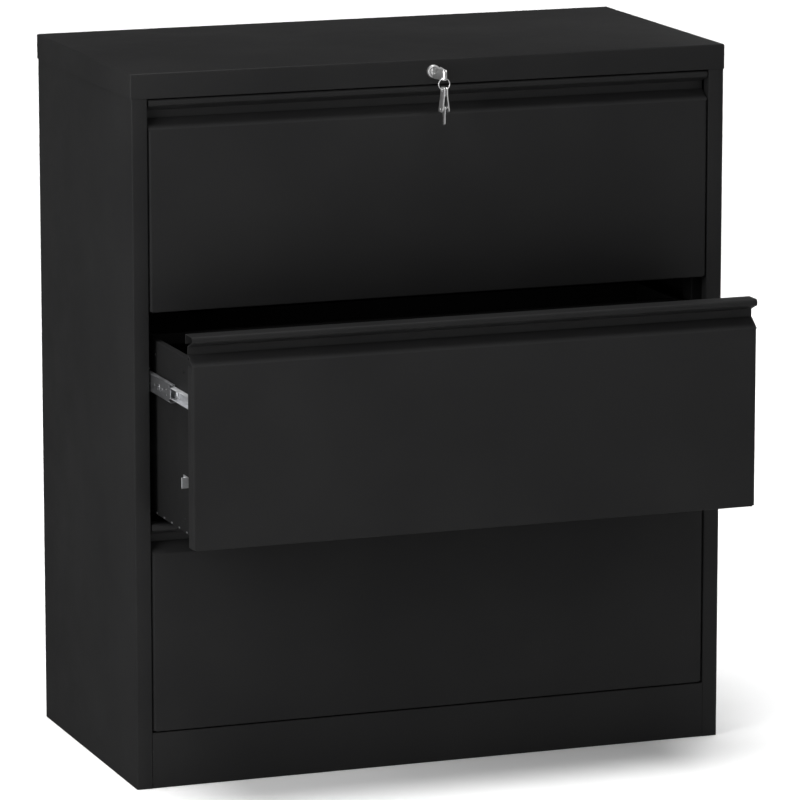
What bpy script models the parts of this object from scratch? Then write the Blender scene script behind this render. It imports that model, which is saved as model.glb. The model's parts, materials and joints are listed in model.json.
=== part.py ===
"""Three-drawer lateral filing cabinet of folded steel sheet, middle drawer partly open.

The world origin is under the middle of the whole object, open drawer included, on the floor.
+X is to the right of someone facing the drawers, +Y to the back, +Z up.
Cabinet pieces are modelled with y = 0 on the front plane. Drawer pieces have y = 0 on the
drawer's face and z = 0 on the face's lower edge, so the three drawers share their meshes.
"""

import math

import bmesh
import bpy
from mathutils import Matrix, Vector

# Driving dimensions of the case
WIDTH = 0.900
DEPTH = 0.450
HEIGHT = 1.028
CAP_LIP = 0.036
CAP_OVERHANG = 0.0015
UPRIGHT = 0.025
KICK = 0.081
SHEET = 0.0012
BEND = 0.0025
SEAM = 0.0001
GAP = 0.0003

# Drawers: three equal fronts fill the opening between plinth and cap lip
DRAWERS = ("bottom", "middle", "top")
PULL_OUT = {"bottom": 0.0, "middle": 0.187, "top": 0.0}
FRONT_HEIGHT = 0.3015
FRONT_GAP = 0.0016
FRONT_SIDE_GAP = 0.0018
FRONT_PITCH = FRONT_HEIGHT + FRONT_GAP
FLANGE = 0.020
FACE_EDGE = 0.004
PULL_HEIGHT = 0.0430
NOSE_FRONT = 0.0085
NOSE_BACK = 0.0170
NECK_SETBACK = 0.0205
TRAY_BOTTOM = 0.0105
TRAY_TOP = 0.2605
TRAY_SHEET = 0.001
TRAY_FRONT = 0.006
TRAY_BACK = 0.418
RAIL_Y = 0.270

# Telescopic slides
SLIDE_SPACE = 0.013
SLIDE_Z = 0.2035
SLIDE_FRONT = 0.0225
SLIDE_LENGTH = 0.398
MIDDLE_SHARE = 0.58
POST_DEPTH = 0.034
POST_Y = {"front": 0.056, "rear": 0.395}

# Lock in the middle of the cap's front lip, its rod and its vertical bar
LOCK_Z = 1.0105
BARREL_RADIUS = 0.0095
BARREL_FRONT = -0.0060
PLUG_RADIUS = 0.0060
CAM_Y = 0.0385
CAM_PIN = 0.0120
PIN_RADIUS = 0.0020
SLOT_PLAY = 0.0006
ROD_Y = 0.0435
ROD_THICKNESS = 0.0020
ROD_Z = (0.9965, 1.0065)
RAMP_X = -0.4030
BAR_Y = 0.0470
BAR_THICKNESS = 0.0030
BAR_DROP = 0.0120
BAR_X = (-0.4418, -0.4292)
LUG_TIP = -0.4145
LUG_HEIGHT = 0.0120
LUG_ABOVE = 0.0015
CATCH_Z = (0.0785, 0.0940)
CATCH_Y = 0.0525

# Folding keys on a ring
KEY_THICKNESS = 0.0020
KEY_PIVOT_Y = -0.0195
KEY_WIDTH = 0.0070
KEY_BLADE = 0.0305
BOW_BACK = -0.0050
BOW_END = 0.0305
BOW_EYE = 0.0255
BOW_WIDE = 0.0160
BOW_NARROW = 0.0150
EYE_RADIUS = 0.0020
EYE_SLACK = 0.0004
BOW_SPREAD = 0.0058
BOW_CLOSED = 0.0029
CHEEK = 0.0014
KEY_EYE_DROP = 0.0041
RING_RADIUS = 0.0083
RING_WIRE = 0.0008
SPARE_BLADE = 0.0280

# Derived places
HALF = WIDTH / 2
OPENING_X = HALF - UPRIGHT
OPENING_TOP = HEIGHT - CAP_LIP
SIDE_X = HALF - CAP_OVERHANG
FRONT_Y = PULL_OUT["middle"] - (DEPTH + PULL_OUT["middle"]) / 2
FACE_X = OPENING_X - FRONT_SIDE_GAP
TRAY_X = OPENING_X - SLIDE_SPACE
CAM_STROKE = 2 * CAM_PIN * math.sin(math.radians(45))


# ---------------------------------------------------------------- materials


def material(name, colour, roughness, metallic):
    """A Principled BSDF material in one colour."""
    made = bpy.data.materials.new(name)
    made.use_nodes = True
    shader = made.node_tree.nodes["Principled BSDF"]
    shader.inputs["Base Color"].default_value = (*colour, 1.0)
    shader.inputs["Roughness"].default_value = roughness
    shader.inputs["Metallic"].default_value = metallic
    made.diffuse_color = (*colour, 1.0)
    return made


# ---------------------------------------------------------------- shape helpers


def rounded(points, radii, steps=3):
    """An open 2-D outline with an arc of the given radius at each inner corner."""
    outline = [Vector(points[0])]
    for i in range(1, len(points) - 1):
        corner = Vector(points[i])
        before = (Vector(points[i - 1]) - corner).normalized()
        after = (Vector(points[i + 1]) - corner).normalized()
        radius = radii[i - 1]
        if radius <= 0:
            outline.append(corner)
            continue
        half_angle = before.angle(after) / 2
        centre = corner + (before + after).normalized() * radius / math.sin(half_angle)
        start = corner + before * radius / math.tan(half_angle) - centre
        end = corner + after * radius / math.tan(half_angle) - centre
        for k in range(steps + 1):
            outline.append(centre + start.slerp(end, k / steps).normalized() * radius)
    outline.append(Vector(points[-1]))
    return outline


def strip(outline, place, low, high):
    """A folded surface: the outline drawn from low to high, with its outer side on the outline's right."""
    if place is along_y:
        low, high = high, low
    bm = bmesh.new()
    rows = [[bm.verts.new(place(p.x, p.y, t)) for p in outline] for t in (low, high)]
    for i in range(len(outline) - 1):
        bm.faces.new((rows[0][i], rows[0][i + 1], rows[1][i + 1], rows[1][i]))
    return bm


def along_x(a, b, t):
    """Outline in the YZ plane, drawn along X."""
    return (t, a, b)


def along_y(a, b, t):
    """Outline in the XZ plane, drawn along Y."""
    return (a, t, b)


def along_z(a, b, t):
    """Outline in the XY plane, drawn along Z."""
    return (a, b, t)


def prism(outline, place, low, high):
    """A closed solid: a closed 2-D outline drawn from low to high and capped."""
    bm = bmesh.new()
    base = bm.faces.new([bm.verts.new(place(x, y, low)) for x, y in outline])
    raised = bmesh.ops.extrude_face_region(bm, geom=[base])["geom"]
    step = Vector(place(0, 0, high)) - Vector(place(0, 0, low))
    bmesh.ops.translate(bm, vec=step, verts=[v for v in raised if isinstance(v, bmesh.types.BMVert)])
    bmesh.ops.recalc_face_normals(bm, faces=bm.faces)
    return bm


def box(low, high):
    """A closed box between two corners."""
    x0, y0, z0 = low
    x1, y1, z1 = high
    return prism([(x0, y0), (x1, y0), (x1, y1), (x0, y1)], along_z, z0, z1)


def circle(centre, radius, steps=24, start=0.0):
    """Points round a circle, in the outline's plane."""
    turn = 2 * math.pi / steps
    return [
        (centre[0] + radius * math.cos(start + turn * k), centre[1] + radius * math.sin(start + turn * k))
        for k in range(steps)
    ]


def capsule(first, second, r1, r2, steps=8):
    """A closed outline round two circles and their common tangents."""
    a = Vector(first)
    b = Vector(second)
    heading = math.atan2(b.y - a.y, b.x - a.x)
    lean = math.acos((r1 - r2) / (b - a).length)
    points = []
    for k in range(steps + 1):
        angle = heading + lean + (2 * math.pi - 2 * lean) * k / steps
        points.append((a.x + r1 * math.cos(angle), a.y + r1 * math.sin(angle)))
    for k in range(steps + 1):
        angle = heading - lean + 2 * lean * k / steps
        points.append((b.x + r2 * math.cos(angle), b.y + r2 * math.sin(angle)))
    return points


def tube_along_y(outer, inner, low, high, steps=32):
    """A closed ring-shaped solid about the Y axis through the local origin."""
    bm = bmesh.new()
    profile = [(inner, low), (outer, low), (outer, high), (inner, high)]
    ring = [bm.verts.new((r, y, 0)) for r, y in profile]
    edges = [bm.edges.new((ring[i], ring[(i + 1) % 4])) for i in range(4)]
    bmesh.ops.spin(
        bm, geom=ring + edges, cent=(0, 0, 0), axis=(0, 1, 0), angle=2 * math.pi, steps=steps, use_merge=True
    )
    bmesh.ops.remove_doubles(bm, verts=bm.verts, dist=1e-6)
    bmesh.ops.recalc_face_normals(bm, faces=bm.faces)
    return bm


def mirrored(bm):
    """The same mesh on the other side of the cabinet."""
    bmesh.ops.scale(bm, vec=(-1, 1, 1), verts=bm.verts)
    bmesh.ops.reverse_faces(bm, faces=bm.faces)
    return bm


def on_side(bm, side):
    """Meshes are modelled for the left; the right side takes the mirror image."""
    return bm if side == "left" else mirrored(bm)


# ---------------------------------------------------------------- object helpers


def empty(name, location, parent=None):
    """A guide that carries the pieces of one moving or fixed group."""
    made = bpy.data.objects.new(name, None)
    bpy.context.scene.collection.objects.link(made)
    made.parent = parent
    made.location = location
    made.empty_display_size = 0.02
    return made


def add(name, shape, look, parent, location=(0, 0, 0)):
    """An object holding the shape, which is a bmesh or a finished mesh."""
    if isinstance(shape, bmesh.types.BMesh):
        mesh = bpy.data.meshes.new(name)
        shape.to_mesh(mesh)
        shape.free()
        mesh.materials.append(look)
    else:
        mesh = shape
    made = bpy.data.objects.new(name, mesh)
    bpy.context.scene.collection.objects.link(made)
    made.parent = parent
    made.location = location
    return made


def thicken(obj, thickness):
    """Gives a folded surface its sheet thickness, on the side away from its normals."""
    solid = obj.modifiers.new("sheet", "SOLIDIFY")
    solid.thickness = thickness
    solid.offset = -1.0
    solid.use_even_offset = True
    solid.use_rim = True
    return obj


def combine(obj, name, shape, operation):
    """Cuts the shape from the object, or joins it on, with a hidden helper object."""
    helper = add(name, shape, obj.data.materials[0], obj.parent, obj.location)
    helper.hide_render = True
    helper.display_type = "WIRE"
    step = obj.modifiers.new(name, "BOOLEAN")
    step.operation = operation
    step.solver = "EXACT"
    step.object = helper
    return obj


def smooth(obj, angle=35):
    """Rounds the shading of bends and round pieces, keeping corners sharp."""
    obj.data.shade_smooth()
    obj.data.set_sharp_from_angle(angle=math.radians(angle))
    return obj


# ---------------------------------------------------------------- case


def top_cap(parent, look):
    """Folded lid whose front lip is the fascia that holds the lock."""
    bm = bmesh.new()
    bmesh.ops.create_cube(bm, size=1.0)
    bmesh.ops.scale(bm, vec=(WIDTH, DEPTH, CAP_LIP), verts=bm.verts)
    bmesh.ops.translate(bm, vec=(0, DEPTH / 2, HEIGHT - CAP_LIP / 2), verts=bm.verts)
    under = [f for f in bm.faces if f.normal.z < -0.9]
    bmesh.ops.delete(bm, geom=under, context="FACES_ONLY")
    bends = [e for e in bm.edges if len(e.link_faces) == 2]
    bmesh.ops.bevel(bm, geom=bends, offset=BEND, segments=3, profile=0.5, affect="EDGES")
    cap = thicken(add("top_cap", bm, look, parent), SHEET)
    hole = prism(circle((0, LOCK_Z), 0.0084), along_y, -0.005, 0.005)
    return smooth(combine(cap, "lock_hole_cutter", hole, "DIFFERENCE"))


def side_panel(side, parent, look):
    """Side sheet that wraps round the front as the upright and round the back as a flange."""
    back = DEPTH - 0.0015
    corners = [
        (-SIDE_X + 0.0155, back),
        (-SIDE_X, back),
        (-SIDE_X, 0),
        (-OPENING_X, 0),
        (-OPENING_X, 0.018),
    ]
    outline = rounded(corners, [0.0014, BEND, 0.0014])
    bm = strip(outline, along_z, 0.0, OPENING_TOP - SEAM)
    return smooth(thicken(add(f"{side}_side_panel", on_side(bm, side), look, parent), SHEET))


def back_panel(parent, look):
    """Flat back sheet, screwed over the side panels' back flanges."""
    x = SIDE_X - 0.001
    sheet = box((-x, DEPTH - 0.001, 0.003), (x, DEPTH, OPENING_TOP - 0.0005))
    return add("back_panel", sheet, look, parent)


def base_plinth(parent, look):
    """Kick plate under the bottom drawer, folded back along its top and along the floor."""
    x = OPENING_X - SEAM
    outline = rounded([(0.018, KICK), (0, KICK), (0, 0), (0.020, 0)], [0.0014, 0.0014])
    bm = strip(outline, along_x, -x, x)
    return smooth(thicken(add("base_plinth", bm, look, parent), SHEET))


def bottom_panel(parent, look):
    """Floor of the case: a shallow pan with its lips turned down."""
    bm = box((-0.4465, 0.0205, 0.050), (0.4465, 0.4465, 0.070))
    under = [f for f in bm.faces if f.normal.z < -0.9]
    bmesh.ops.delete(bm, geom=under, context="FACES_ONLY")
    return thicken(add("bottom_panel", bm, look, parent), SHEET)


def post(name, side, y, parent, look):
    """Channel that the slides are fixed to, open towards the side panel."""
    face = OPENING_X + GAP
    outer = SIDE_X - SHEET - 0.0005
    corners = [(-outer, y), (-face, y), (-face, y + POST_DEPTH), (-outer, y + POST_DEPTH)]
    bm = strip(rounded(corners, [0.002, 0.002]), along_z, 0.0725, HEIGHT - SHEET - 0.0006)
    return smooth(thicken(add(name, on_side(bm, side), look, parent), 0.0015))


def top_cross_rail(parent, look):
    """Channel across the case, behind the lock rod, that stiffens the cap."""
    x = OPENING_X - SEAM
    outline = rounded([(0.075, 1.0262), (0.053, 1.0262), (0.053, 0.9945), (0.070, 0.9945)], [0.0015, 0.0015])
    bm = strip(outline, along_x, -x, x)
    return smooth(thicken(add("top_cross_rail", bm, look, parent), SHEET))


# ---------------------------------------------------------------- drawers


def front_surface():
    """Face, side flanges, bottom flange and upper slope of a drawer front, as one folded surface."""
    face_top = FRONT_HEIGHT - PULL_HEIGHT
    wrap = rounded(
        [(-FACE_X, FLANGE), (-FACE_X, 0), (FACE_X, 0), (FACE_X, FLANGE)], [FACE_EDGE, FACE_EDGE], steps=4
    )
    bm = bmesh.new()
    low = [bm.verts.new((p.x, p.y, 0.0015)) for p in wrap]
    high = [bm.verts.new((p.x, p.y, face_top)) for p in wrap]
    for i in range(len(wrap) - 1):
        bm.faces.new((low[i], low[i + 1], high[i + 1], high[i]))
    first = 5
    left, right = low[first], low[first + 1]
    rows = [(left, right)]
    for y, z in ((0.0005, 0.0005), (0.0015, 0.0), (FLANGE, 0.0)):
        x = FACE_X - FACE_EDGE
        rows.append((bm.verts.new((-x, y, z)), bm.verts.new((x, y, z))))
    for near, far in zip(rows, rows[1:]):
        bm.faces.new((near[1], near[0], far[0], far[1]))
    rows = [(high[first], high[first + 1])]
    slope_end = (NECK_SETBACK - 0.0011, FRONT_HEIGHT - 0.0280)
    for y, z in ((0.0006, face_top + 0.0012), (0.0020, face_top + 0.0026), slope_end):
        rows.append((bm.verts.new((-FACE_X, y, z)), bm.verts.new((FACE_X, y, z))))
    for near, far in zip(rows, rows[1:]):
        bm.faces.new((near[0], near[1], far[1], far[0]))
    return bm


def pull_outline():
    """Section of the full-width pull: back flange, top, nose, underside and neck."""
    top = FRONT_HEIGHT
    corners = [
        (0.030, top - 0.014),
        (0.030, top),
        (0, top),
        (0, top - NOSE_FRONT),
        (NECK_SETBACK, top - NOSE_BACK),
        (NECK_SETBACK, top - 0.0355),
    ]
    return rounded(corners, [0.0015, 0.0035, 0.003, 0.0015])


def drawer_front(drawer, parent, look, shared):
    """Folded pan with rounded vertical edges."""
    name = f"{drawer}_drawer_front"
    if "front" not in shared:
        obj = add(name, front_surface(), look, parent)
        shared["front"] = smooth(obj).data
    else:
        obj = add(name, shared["front"], look, parent)
    return thicken(obj, SHEET)


def drawer_pull(drawer, parent, look, shared):
    """Full-width pull whose nose overhangs the finger recess."""
    name = f"{drawer}_drawer_pull"
    if "pull" not in shared:
        bm = strip(pull_outline(), along_x, -FACE_X, FACE_X)
        shared["pull"] = smooth(add(name, bm, look, parent)).data
        obj = bpy.data.objects[name]
    else:
        obj = add(name, shared["pull"], look, parent)
    return thicken(obj, SHEET)


def drawer_tray(drawer, parent, look):
    """Bottom and both sides of the drawer, folded from one sheet."""
    corners = [
        (-TRAY_X + 0.010, TRAY_TOP),
        (-TRAY_X, TRAY_TOP),
        (-TRAY_X, TRAY_BOTTOM),
        (TRAY_X, TRAY_BOTTOM),
        (TRAY_X, TRAY_TOP),
        (TRAY_X - 0.010, TRAY_TOP),
    ]
    outline = rounded(corners, [0.0015, 0.0015, 0.0015, 0.0015])
    bm = strip(outline, along_y, TRAY_FRONT, TRAY_BACK)
    return smooth(thicken(add(f"{drawer}_drawer_tray", bm, look, parent), TRAY_SHEET))


def drawer_back(drawer, parent, look):
    """Back wall between the tray's sides, its top edge folded forward."""
    x = TRAY_X - TRAY_SHEET - GAP
    top = TRAY_TOP - TRAY_SHEET - GAP
    low = TRAY_BOTTOM + TRAY_SHEET + GAP
    outline = rounded([(0.4165, low), (0.4165, top), (0.403, top)], [0.0015])
    bm = strip(outline, along_x, -x, x)
    return smooth(thicken(add(f"{drawer}_drawer_back", bm, look, parent), TRAY_SHEET))


def hanging_rail(drawer, parent, look):
    """Inverted channel across the drawer that hanging folders hook on."""
    x = TRAY_X - TRAY_SHEET - GAP
    top = TRAY_TOP - TRAY_SHEET - 0.0015
    y0, y1 = RAIL_Y - 0.007, RAIL_Y + 0.007
    outline = rounded([(y1, top - 0.016), (y1, top), (y0, top), (y0, top - 0.016)], [0.0015, 0.0015])
    bm = strip(outline, along_x, -x, x)
    return smooth(thicken(add(f"{drawer}_hanging_rail", bm, look, parent), SHEET))


def lock_catch(drawer, parent, look):
    """Angle on the drawer's left side, which the lock bar's lug blocks."""
    base = -TRAY_X - GAP
    outline = [
        (base, CATCH_Y),
        (base, CATCH_Y + 0.020),
        (base - 0.0015, CATCH_Y + 0.020),
        (base - 0.0015, CATCH_Y + 0.002),
        (-0.4225, CATCH_Y + 0.002),
        (-0.4225, CATCH_Y),
    ]
    return add(f"{drawer}_lock_catch", prism(outline, along_z, *CATCH_Z), look, parent)


# ---------------------------------------------------------------- slides


def slide_member(name, side, section, thickness, parent, look):
    """A rolled channel of the telescopic slide, from its section measured off the opening's side."""
    corners = [(-OPENING_X + x, SLIDE_Z + z) for x, z in section]
    outline = rounded(corners, [0.0015, 0.0015])
    bm = strip(outline, along_y, SLIDE_FRONT, SLIDE_FRONT + SLIDE_LENGTH)
    return smooth(thicken(add(name, on_side(bm, side), look, parent), thickness))


def slide_outer(name, side, parent, look):
    """Member fixed to the posts."""
    section = [(0.0085, 0.0175), (0, 0.0175), (0, -0.0175), (0.0085, -0.0175)]
    return slide_member(name, side, section, 0.0012, parent, look)


def slide_middle(name, side, parent, look):
    """Member that runs a fixed share of the drawer's travel."""
    section = [(0.0098, 0.0133), (0.0022, 0.0133), (0.0022, -0.0133), (0.0098, -0.0133)]
    return slide_member(name, side, section, 0.0011, parent, look)


def slide_inner(name, side, parent, look):
    """Member fixed to the drawer's side, open towards the case."""
    section = [(0.0045, -0.0075), (0.0127, -0.0075), (0.0127, 0.0075), (0.0045, 0.0075)]
    return slide_member(name, side, section, 0.0012, parent, look)


# ---------------------------------------------------------------- lock


def lock_barrel(parent, look):
    """Fixed cylinder of the lock, flanged in front of the cap's lip."""
    barrel = add("lock_barrel", tube_along_y(BARREL_RADIUS, 0.0063, BARREL_FRONT, -GAP), look, parent)
    barrel.location = (0, 0, LOCK_Z)
    sleeve = tube_along_y(0.0080, 0.0063, -0.0010, 0.033)
    return smooth(combine(barrel, "lock_sleeve", sleeve, "UNION"))


def lock_nut(parent, look):
    """Hexagonal nut that clamps the barrel behind the cap's lip."""
    nut = prism(circle((0, 0), 0.0125, steps=6), along_y, 0.0016, 0.0066)
    obj = add("lock_nut", nut, look, parent, (0, 0, LOCK_Z))
    return combine(obj, "lock_nut_bore", prism(circle((0, 0), 0.0084), along_y, -0.01, 0.02), "DIFFERENCE")


def lock_plug(parent, look):
    """Turning core of the lock, with the keyway cut in its front."""
    plug = prism(circle((0, 0), PLUG_RADIUS), along_y, BARREL_FRONT - 0.0004, CAM_Y - GAP)
    obj = add("lock_plug", plug, look, parent)
    keyway = box((-0.0014, BARREL_FRONT - 0.002, -0.0043), (0.0014, 0.014, 0.0043))
    return smooth(combine(obj, "keyway_cutter", keyway, "DIFFERENCE"))


def lock_cam(parent, look):
    """Arm on the back of the plug; its pin drives the rod."""
    pin = (CAM_STROKE / 2, -CAM_STROKE / 2)
    plate = prism(capsule((0, 0), pin, 0.0070, 0.0036), along_y, CAM_Y, CAM_Y + 0.002)
    obj = add("lock_cam", plate, look, parent)
    stud = prism(circle(pin, PIN_RADIUS, steps=16), along_y, CAM_Y + 0.001, ROD_Y + ROD_THICKNESS + 0.001)
    return smooth(combine(obj, "cam_pin", stud, "UNION"))


def lock_rod(parent, look):
    """Flat rod behind the cap's lip: an upright slot for the cam, a ramp slot for the bar."""
    low, high = ROD_Y, ROD_Y + ROD_THICKNESS
    cam_x = CAM_STROKE / 2
    ramp = ramp_points()
    obj = add("lock_rod", box((ramp[1].x, low, ROD_Z[0]), (cam_x, high, ROD_Z[1])), look, parent)
    eye = box((cam_x - 0.0066, low, 0.9936), (cam_x + 0.0066, high, 1.0080))
    plate = box((ramp[0].x - 0.0066, low, 0.9934), (ramp[1].x + 0.0066, high, 1.0163))
    width = PIN_RADIUS + SLOT_PLAY
    eye_slot = capsule((cam_x, LOCK_Z - CAM_PIN), (cam_x, LOCK_Z - CAM_STROKE / 2), width, width)
    combine(obj, "rod_eye", eye, "UNION")
    combine(obj, "rod_plate", plate, "UNION")
    combine(obj, "rod_eye_slot", prism(eye_slot, along_y, low - 0.002, high + 0.002), "DIFFERENCE")
    ramp_slot = capsule(ramp[0], ramp[1], width, width)
    combine(obj, "rod_ramp_slot", prism(ramp_slot, along_y, low - 0.002, high + 0.002), "DIFFERENCE")
    return obj


def ramp_points():
    """Ends of the ramp slot: where the bar's pin sits unlocked, and where it sits locked."""
    start = Vector((RAMP_X, LOCK_Z))
    return start, start + Vector((CAM_STROKE, -BAR_DROP))


def lock_bar(parent, look):
    """Upright bar in the left front corner, with a lug for each drawer and an arm to the rod."""
    low, high = BAR_Y, BAR_Y + BAR_THICKNESS
    pin = ramp_points()[0]
    lug_z = [drawer_z(drawer) + CATCH_Z[1] + LUG_ABOVE for drawer in DRAWERS]
    outline = [(BAR_X[0], lug_z[0])]
    for z in lug_z:
        outline += [(BAR_X[1], z), (LUG_TIP, z), (LUG_TIP, z + LUG_HEIGHT), (BAR_X[1], z + LUG_HEIGHT)]
    outline += [
        (BAR_X[1], pin.y - 0.006),
        (pin.x + 0.006, pin.y - 0.006),
        (pin.x + 0.006, pin.y + 0.006),
        (BAR_X[0], pin.y + 0.006),
    ]
    obj = add("lock_bar", prism(outline, along_y, low, high), look, parent)
    stud = prism(circle(tuple(pin), PIN_RADIUS, steps=16), along_y, ROD_Y - 0.001, low + 0.001)
    return combine(obj, "bar_pin", stud, "UNION")


def lock_bar_guide(parent, look):
    """Bracket on the left front post that the bar slides in."""
    corners = [(-0.4440, 0.0557), (-0.4440, 0.0445), (-0.4272, 0.0445), (-0.4272, 0.0557)]
    bm = strip(rounded(corners, [0.0012, 0.0012]), along_z, 0.715, 0.735)
    return thicken(add("lock_bar_guide", bm, look, parent), 0.001)


def lock_rod_guide(parent, look):
    """Bracket on the cross rail that the rod slides in."""
    corners = [(0.0527, 1.0085), (0.0418, 1.0085), (0.0418, 0.9945), (0.0527, 0.9945)]
    bm = strip(rounded(corners, [0.0012, 0.0012]), along_x, -0.210, -0.190)
    return thicken(add("lock_rod_guide", bm, look, parent), 0.001)


# ---------------------------------------------------------------- keys


def turned(shapes, heading):
    """Turns meshes drawn along +Y round the X axis to the given heading."""
    for bm in shapes:
        bmesh.ops.transform(bm, matrix=Matrix.Rotation(heading, 4, "X"), verts=bm.verts)


def blade(name, length, heading, parent, look):
    """A flat key blade from its pivot, with a hub and a stud that the bow's cheeks turn on."""
    half = KEY_THICKNESS / 2
    head = prism(capsule((0, 0), (0.008, 0), 0.0042, 0.0038), along_x, -half, half)
    shank = box((-half, 0.008, -KEY_WIDTH / 2), (half, length, KEY_WIDTH / 2))
    hub = prism(circle((0, 0), 0.0028, steps=16), along_x, -0.0030, 0.0030)
    stud = prism(circle((0, 0), 0.0015, steps=16), along_x, -0.0049, 0.0049)
    turned((head, shank, hub, stud), heading)
    obj = add(name, head, look, parent)
    combine(obj, f"{name}_shank", shank, "UNION")
    combine(obj, f"{name}_hub", hub, "UNION")
    return smooth(combine(obj, f"{name}_stud", stud, "UNION"))


def bow_section():
    """Section of the key grip: two cheeks that spread from the closed end to the pivot."""
    inner_spread = BOW_SPREAD - CHEEK
    inner_closed = BOW_CLOSED - CHEEK
    right = [
        (BOW_SPREAD, BOW_BACK),
        (BOW_CLOSED, 0.019),
        (BOW_CLOSED, BOW_END - 0.0015),
        (BOW_CLOSED - 0.0015, BOW_END),
    ]
    left = [(-x, y) for x, y in reversed(right)]
    slot = [(-inner_spread, BOW_BACK), (-inner_closed, 0.018)]
    return right + left + slot + [(-x, y) for x, y in reversed(slot)]


def cheek_outline():
    """Outline of the key grip seen from its side."""
    wide, narrow = BOW_WIDE / 2, BOW_NARROW / 2
    corners = [
        (BOW_BACK, 0),
        (BOW_BACK, -wide),
        (BOW_END, -narrow),
        (BOW_END, narrow),
        (BOW_BACK, wide),
        (BOW_BACK, 0),
    ]
    return rounded(corners, [0.003, 0.0035, 0.0035, 0.003], steps=4)[1:]


def bow(name, heading, eye_drop, parent, look):
    """Key grip folded from one sheet, its cheeks bored for the blade's stud and the ring."""
    grip = prism(bow_section(), along_z, -0.020, 0.020)
    cheek = prism(cheek_outline(), along_x, -0.010, 0.010)
    bore = prism(circle((0, 0), 0.0019, steps=16), along_x, -0.012, 0.012)
    eye = prism(circle((BOW_EYE, eye_drop), EYE_RADIUS, steps=16), along_x, -0.012, 0.012)
    turned((grip, cheek, bore, eye), heading)
    obj = add(name, grip, look, parent)
    combine(obj, f"{name}_cheek", cheek, "INTERSECT")
    combine(obj, f"{name}_pivot", bore, "DIFFERENCE")
    return smooth(combine(obj, f"{name}_eye", eye, "DIFFERENCE"))


def key_ring(parent, look):
    """Wire ring hanging from the bow's eye, its centre under the joint axis."""
    curve = bpy.data.curves.new("key_ring", "CURVE")
    curve.dimensions = "3D"
    curve.bevel_depth = RING_WIRE
    curve.bevel_resolution = 2
    spline = curve.splines.new("POLY")
    steps = 28
    spline.points.add(steps - 1)
    for k in range(steps):
        angle = 2 * math.pi * k / steps
        x, z = RING_RADIUS * math.sin(angle), RING_RADIUS * (math.cos(angle) - 1)
        spline.points[k].co = (x, 0, z, 1)
    spline.use_cyclic_u = True
    curve.materials.append(look)
    obj = bpy.data.objects.new("key_ring", curve)
    bpy.context.scene.collection.objects.link(obj)
    obj.parent = parent
    return obj


# ---------------------------------------------------------------- assembly


def drawer_z(drawer):
    """Height of a drawer face's lower edge."""
    return KICK + FRONT_GAP + DRAWERS.index(drawer) * FRONT_PITCH


def build_case(cabinet, paint, steel):
    """Shell, posts and cross rail."""
    top_cap(cabinet, paint)
    back_panel(cabinet, paint)
    base_plinth(cabinet, paint)
    bottom_panel(cabinet, paint)
    top_cross_rail(cabinet, steel)
    for side in ("left", "right"):
        side_panel(side, cabinet, paint)
        for place, y in POST_Y.items():
            post(f"{side}_{place}_post", side, y, cabinet, paint)


def build_drawer(drawer, cabinet, paint, inside, steel, shared):
    """One drawer with its six slide members."""
    z = drawer_z(drawer)
    out = PULL_OUT[drawer]
    fixed = empty(f"{drawer}_slide_seat", (0, 0, z), cabinet)
    half_way = empty(f"{drawer}_slide_travel", (0, -out * MIDDLE_SHARE, z), cabinet)
    body = empty(f"{drawer}_drawer", (0, -out, z), cabinet)
    drawer_front(drawer, body, paint, shared)
    drawer_pull(drawer, body, paint, shared)
    drawer_tray(drawer, body, inside)
    drawer_back(drawer, body, inside)
    hanging_rail(drawer, body, inside)
    lock_catch(drawer, body, steel)
    for side in ("left", "right"):
        slide_outer(f"{drawer}_{side}_slide_outer", side, fixed, steel)
        slide_middle(f"{drawer}_{side}_slide_middle", side, half_way, steel)
        slide_inner(f"{drawer}_{side}_slide_inner", side, body, steel)


def build_lock(cabinet, chrome, steel):
    """Lock, rod, bar, and the two keys on their ring."""
    lock_barrel(cabinet, chrome)
    lock_nut(cabinet, steel)
    plug = empty("plug_axis", (0, 0, LOCK_Z), cabinet)
    lock_plug(plug, chrome)
    lock_cam(plug, steel)
    lock_rod(empty("rod_slide", (0, 0, 0), cabinet), steel)
    lock_bar(empty("bar_slide", (0, 0, 0), cabinet), steel)
    lock_bar_guide(cabinet, steel)
    lock_rod_guide(cabinet, steel)
    pivot = empty("key_pivot", (0, KEY_PIVOT_Y, 0), plug)
    blade("key_blade", KEY_BLADE, 0, pivot, chrome)
    bow("key_bow", math.pi, KEY_EYE_DROP, pivot, chrome)
    ring = empty("ring_hang", (0, -BOW_EYE, -KEY_EYE_DROP - EYE_SLACK), pivot)
    key_ring(ring, chrome)
    spare_hang = empty("spare_hang", (0, 0, -2 * RING_RADIUS), ring)
    spare_pivot = empty("spare_pivot", (0, 0, -BOW_EYE - EYE_SLACK), spare_hang)
    bow("spare_key_bow", math.pi / 2, 0, spare_pivot, chrome)
    blade("spare_key_blade", SPARE_BLADE, -math.pi / 2, spare_pivot, chrome)


def main():
    """Clears the scene and builds the cabinet."""
    for old in list(bpy.data.objects):
        bpy.data.objects.remove(old, do_unlink=True)
    paint = material("black_powder_coat", (0.020, 0.020, 0.021), 0.5, 0.0)
    inside = material("black_drawer_paint", (0.014, 0.014, 0.015), 0.55, 0.0)
    zinc = material("zinc_plated_steel", (0.62, 0.63, 0.64), 0.35, 1.0)
    chrome = material("chrome_plate", (0.78, 0.78, 0.79), 0.15, 1.0)
    cabinet = empty("cabinet", (0, FRONT_Y, 0))
    build_case(cabinet, paint, zinc)
    shared = {}
    for drawer in DRAWERS:
        build_drawer(drawer, cabinet, paint, inside, zinc, shared)
    build_lock(cabinet, chrome, zinc)


main()
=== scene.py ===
import json
import math

import bmesh
import bpy
from mathutils import Matrix, Vector


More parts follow.
